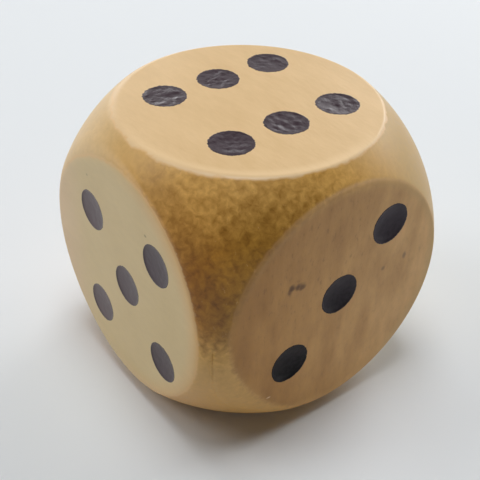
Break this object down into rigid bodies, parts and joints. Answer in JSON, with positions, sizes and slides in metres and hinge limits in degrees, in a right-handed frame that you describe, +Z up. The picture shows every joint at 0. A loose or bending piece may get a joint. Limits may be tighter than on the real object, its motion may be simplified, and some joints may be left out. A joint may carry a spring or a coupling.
{
  "type": "wooden die",
  "caption": "Solid wooden toy die with ball-rounded edges and corners, a round flat on each face and dark painted pips in drilled cups.",
  "frame": {"origin": "middle of the flat that the die stands on, which carries the one", "axes": "+Z up, out of the six; -Y out of the five; +X out of the three"},
  "size_m": [0.03, 0.03, 0.03],
  "materials": {
    "lacquered_wood": "clear lacquer, satin",
    "pip_paint": "brush-filled enamel, semi-gloss"
  },
  "bodies": {
    "root": {"wooden_body": "lacquered_wood", "pip_one_1": "pip_paint", "pip_two_1": "pip_paint", "pip_two_2": "pip_paint", "pip_three_1": "pip_paint", "pip_three_2": "pip_paint", "pip_three_3": "pip_paint", "pip_four_1": "pip_paint", "pip_four_2": "pip_paint", "pip_four_3": "pip_paint", "pip_four_4": "pip_paint", "pip_five_1": "pip_paint", "pip_five_2": "pip_paint", "pip_five_3": "pip_paint", "pip_five_4": "pip_paint", "pip_five_5": "pip_paint", "pip_six_1": "pip_paint", "pip_six_2": "pip_paint", "pip_six_3": "pip_paint", "pip_six_4": "pip_paint", "pip_six_5": "pip_paint", "pip_six_6": "pip_paint"}
  },
  "joints": []
}
